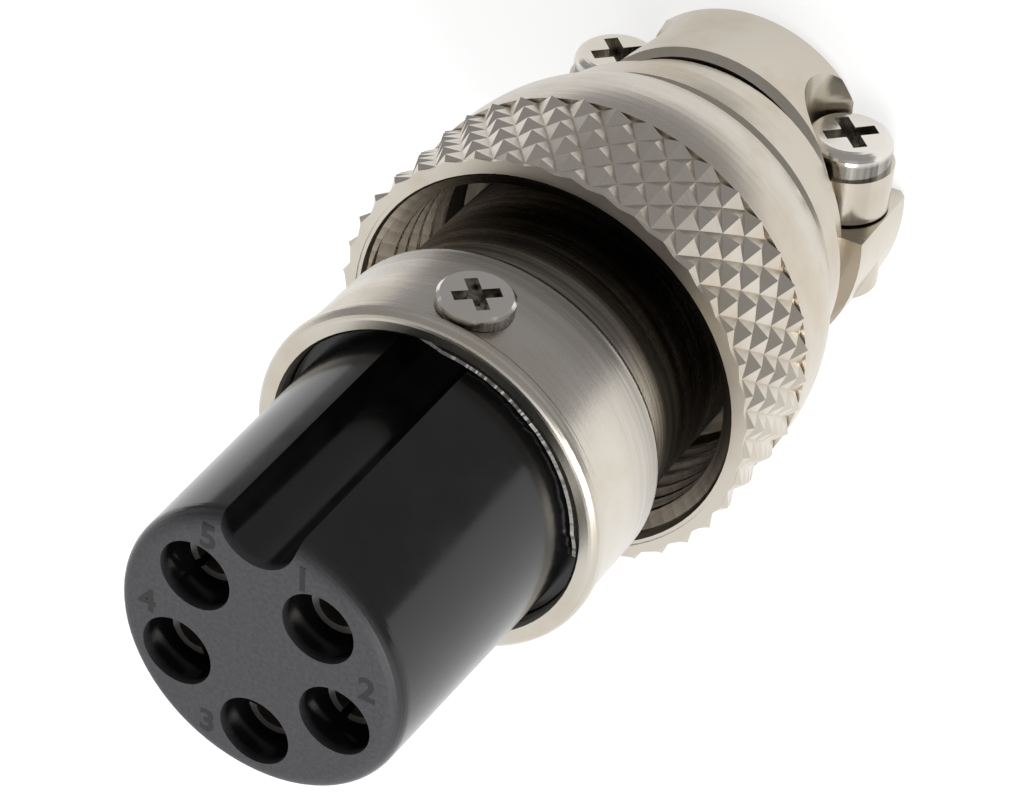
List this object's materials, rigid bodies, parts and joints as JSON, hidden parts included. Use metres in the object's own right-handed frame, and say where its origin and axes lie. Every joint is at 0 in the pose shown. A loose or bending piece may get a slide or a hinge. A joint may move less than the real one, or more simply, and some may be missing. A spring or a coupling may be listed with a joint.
{
  "type": "circular cable plug connector",
  "caption": "Round metal cable plug with a black keyed socket insert, a knurled threaded coupling nut and a screwed cable clamp.",
  "frame": {"origin": "centre of the overall box at the cable end, where the plug stands", "axes": "+Z along the plug's axis from the cable end to the mating face, -Y towards the keyway and the clamp saddle, +X across the clamp screws"},
  "size_m": [0.018, 0.018, 0.0374],
  "materials": {
    "insert": "moulded, satin face and glossy sides",
    "contacts": "silver-plated, slightly dulled",
    "nickel": "satin nickel plate over turned metal",
    "screws": "nickel-plated steel"
  },
  "bodies": {
    "plug": {"insert": "insert", "contact_1": "contacts", "contact_2": "contacts", "contact_3": "contacts", "contact_4": "contacts", "contact_5": "contacts", "front_barrel": "nickel", "insert_screw": "screws", "rear_shell": "nickel", "clamp_saddle": "nickel", "clamp_screws": "screws"},
    "nut": {"coupling_nut": "nickel"}
  },
  "joints": [
    {"name": "nut_turn", "type": "hinge", "parent": "plug", "child": "nut", "pos_m": [0, 0, 0.0087], "axis": [0, 0, 1], "continuous": true}
  ]
}
